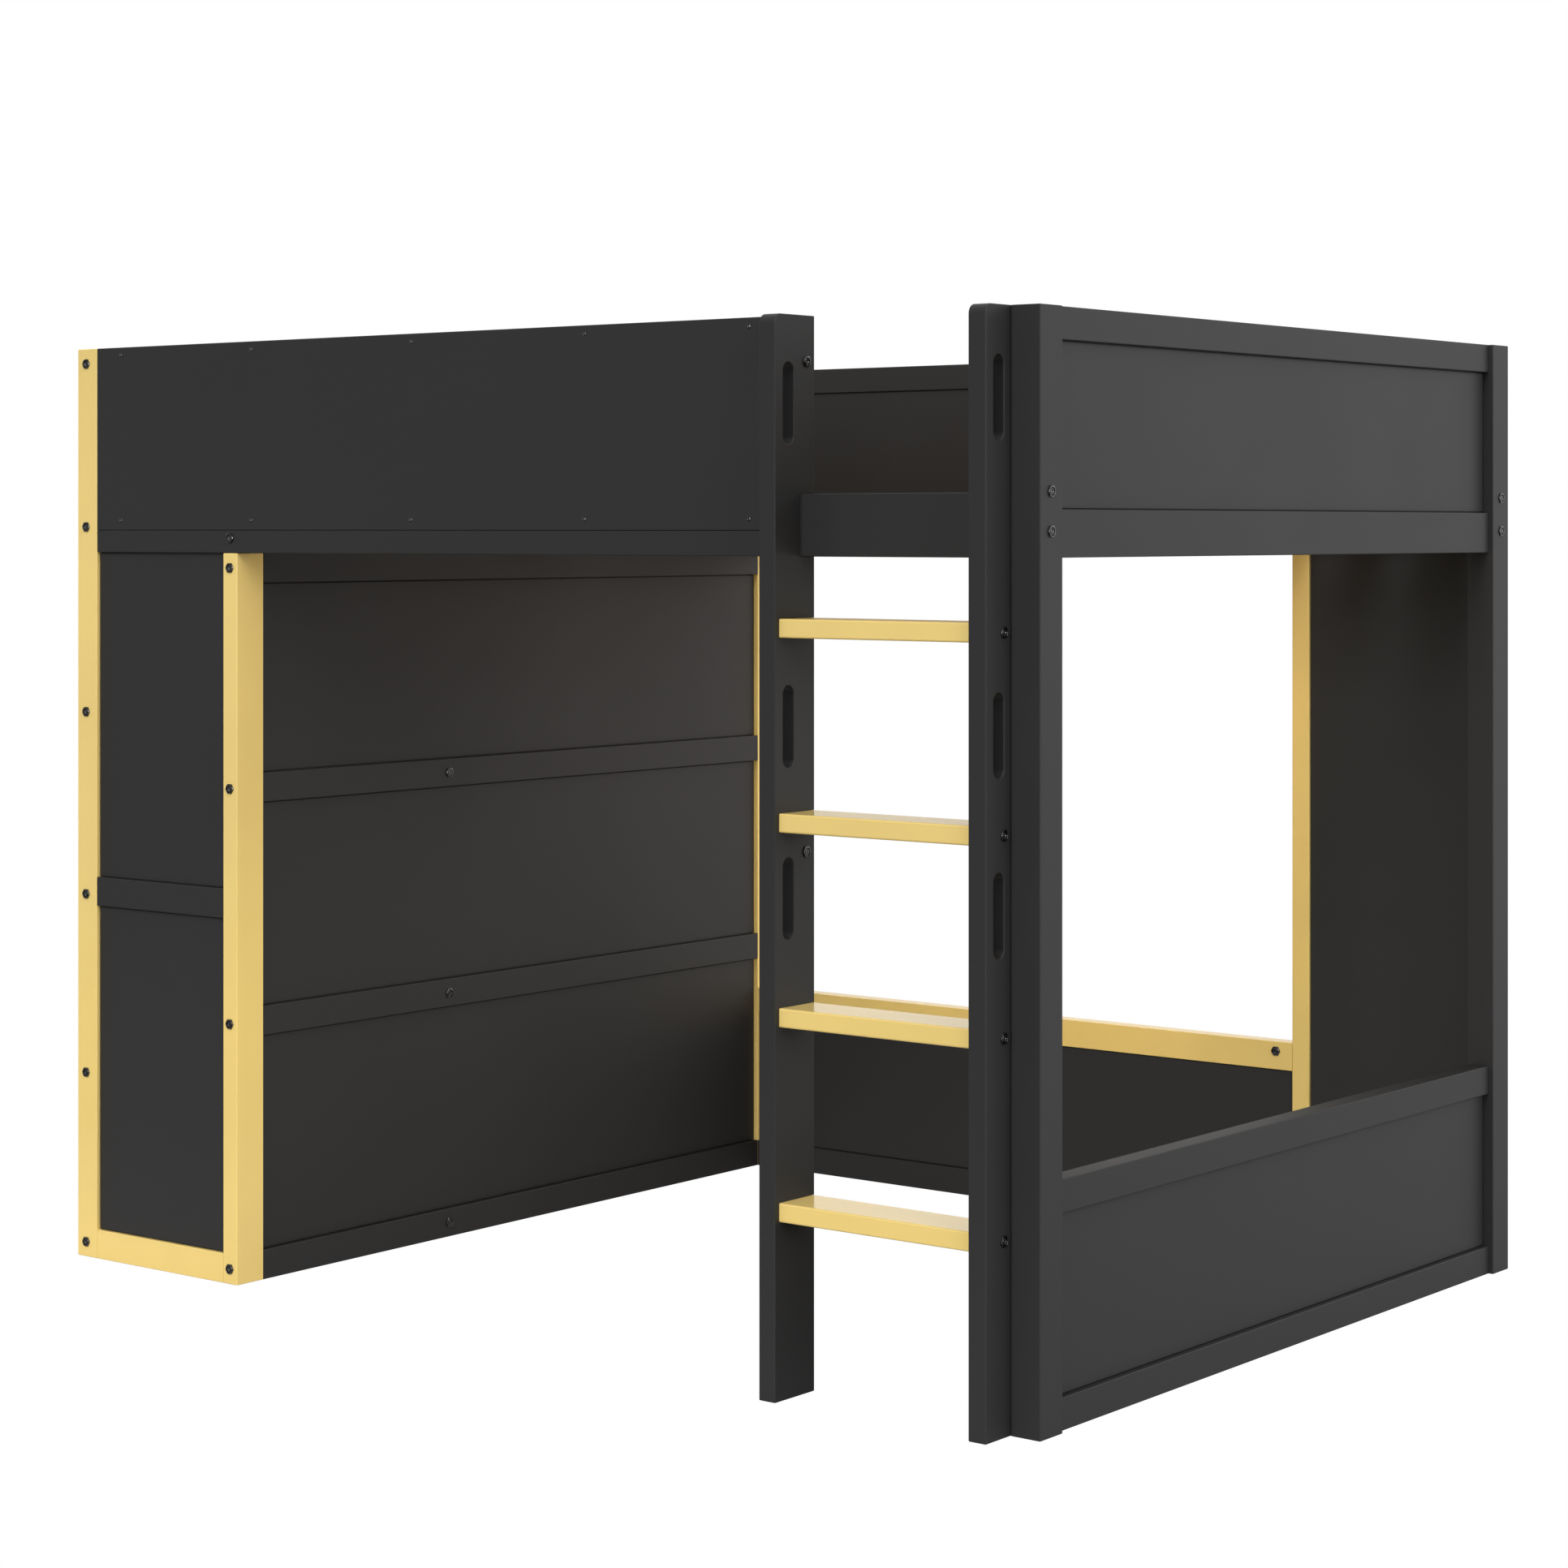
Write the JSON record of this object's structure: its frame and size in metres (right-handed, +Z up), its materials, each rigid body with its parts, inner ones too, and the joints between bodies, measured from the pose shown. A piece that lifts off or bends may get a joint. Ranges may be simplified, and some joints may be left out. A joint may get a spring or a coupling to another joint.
{
  "type": "loft bed",
  "caption": "Painted wooden loft bed with a panelled guard, a front ladder with grip slots, a bookcase in one end behind a partition, and an open room beneath.",
  "frame": {"origin": "centre of the bounding box at floor level", "axes": "+X towards the open end away from the bookcase, -Y the front with the ladder, +Z up"},
  "size_m": [2.02, 1.496, 1.582],
  "materials": {
    "black_paint": "satin black paint on wood",
    "yellow_paint": "satin yellow paint on wood",
    "bare_pine": "bare planed pine",
    "black_steel": "black oxide steel, for the joint bolts and screws"
  },
  "bodies": {
    "root": {"corner_post_front_left": "yellow_paint", "corner_post_back_left": "yellow_paint", "corner_post_front_right": "black_paint", "corner_post_back_right": "black_paint", "inner_post_front_left": "yellow_paint", "inner_post_back_left": "yellow_paint", "inner_post_back_right": "yellow_paint", "side_rail_front": "black_paint", "guard_panel_front": "black_paint", "guard_top_rail_front": "black_paint", "bay_bottom_rail_front": "yellow_paint", "bay_mid_rail_front": "black_paint", "bay_lower_board_front": "black_paint", "bay_upper_board_front": "black_paint", "ladder_rail_left": "black_paint", "ladder_rail_right": "black_paint", "ladder_step_1": "yellow_paint", "ladder_step_2": "yellow_paint", "ladder_step_3": "yellow_paint", "ladder_step_4": "yellow_paint", "bed_rail_right": "black_paint", "guard_board_right": "black_paint", "guard_top_rail_right": "black_paint", "low_bottom_rail_right": "black_paint", "low_board_right": "black_paint", "low_top_rail_right": "black_paint", "bed_rail_left": "black_paint", "guard_board_left": "black_paint", "guard_top_rail_left": "black_paint", "side_rail_back": "black_paint", "guard_board_back": "black_paint", "guard_top_rail_back": "black_paint", "low_top_rail_back": "yellow_paint", "low_board_back": "black_paint", "low_bottom_rail_back": "black_paint", "bay_bottom_rail_back_left": "black_paint", "bay_board_back_left": "black_paint", "bay_bottom_rail_back_right": "black_paint", "bay_board_back_right": "black_paint", "partition_rail_1": "black_paint", "partition_rail_2": "black_paint", "partition_rail_3": "black_paint", "partition_rail_4": "black_paint", "partition_board_1": "black_paint", "partition_board_2": "black_paint", "partition_board_3": "black_paint", "shelf_rail_1": "black_paint", "shelf_rail_2": "black_paint", "shelf_rail_3": "black_paint", "shelf_rail_4": "black_paint", "shelf_1": "black_paint", "shelf_2": "black_paint", "shelf_3": "black_paint", "shelf_4": "black_paint", "bookcase_divider": "black_paint", "ledger_front": "bare_pine", "ledger_back": "bare_pine", "cross_bearer": "black_paint", "centre_beam": "bare_pine", "slat_roll": "bare_pine"}
  },
  "joints": []
}
